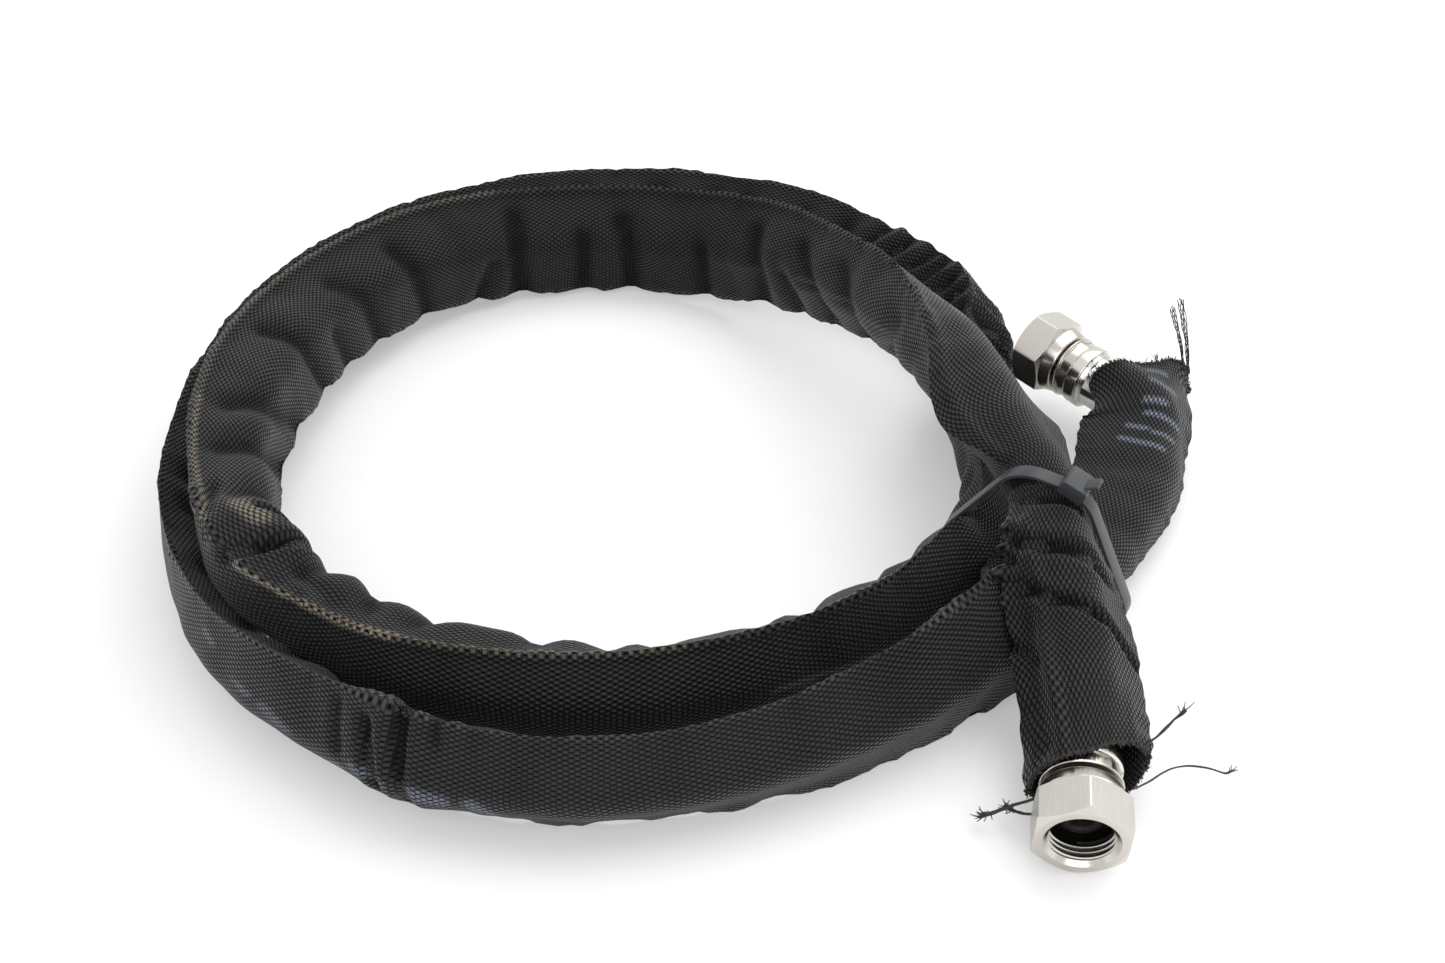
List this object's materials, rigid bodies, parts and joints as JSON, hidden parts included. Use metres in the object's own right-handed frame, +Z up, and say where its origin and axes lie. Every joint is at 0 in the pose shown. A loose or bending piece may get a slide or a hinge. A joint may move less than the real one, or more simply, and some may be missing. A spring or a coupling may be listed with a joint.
{
  "type": "hydraulic hose assembly",
  "caption": "Coiled wire-braided hydraulic hose with a crimped female swivel fitting on each end, a woven protective sleeve over its length and a cable tie.",
  "frame": {"origin": "on the floor, at the middle of the coil's bounding box", "axes": "+Z up; fitting A lies at the -Y side with its mouth towards -Y, and fitting B at the +X side"},
  "size_m": [0.3759, 0.4045, 0.0723],
  "materials": {
    "nitrile_rubber": "matte",
    "cover_rubber": "matte, cloth-marked",
    "oring_rubber": "smooth",
    "braid_wire": "brass-coated braid",
    "woven_nylon": "coarse plain weave",
    "tie_nylon": "moulded",
    "plated_steel": "turned and plated",
    "crimped_steel": "plated, with die marks",
    "spring_wire": "drawn wire"
  },
  "bodies": {
    "root": {"hose_liner": "nitrile_rubber", "inner_braid": "braid_wire", "braid_interlayer": "nitrile_rubber", "outer_braid": "braid_wire", "hose_cover": "cover_rubber", "protective_sleeve": "woven_nylon", "cable_tie": "tie_nylon", "nipple_a": "plated_steel", "retaining_wire_a": "spring_wire", "cone_oring_a": "oring_rubber", "ferrule_a": "crimped_steel", "nipple_b": "plated_steel", "retaining_wire_b": "spring_wire", "cone_oring_b": "oring_rubber", "ferrule_b": "crimped_steel"},
    "nut_a": {"swivel_nut_a": "plated_steel"},
    "nut_b": {"swivel_nut_b": "plated_steel"}
  },
  "joints": [
    {"name": "nut_a_spin", "type": "hinge", "parent": "root", "child": "nut_a", "pos_m": [0.11234, -0.18691, 0.01774], "axis": [0.129, 0.9793, 0.156], "continuous": true},
    {"name": "nut_b_spin", "type": "hinge", "parent": "root", "child": "nut_b", "pos_m": [0.14308, 0.05216, 0.02559], "axis": [0.665, -0.736, -0.127], "continuous": true}
  ]
}
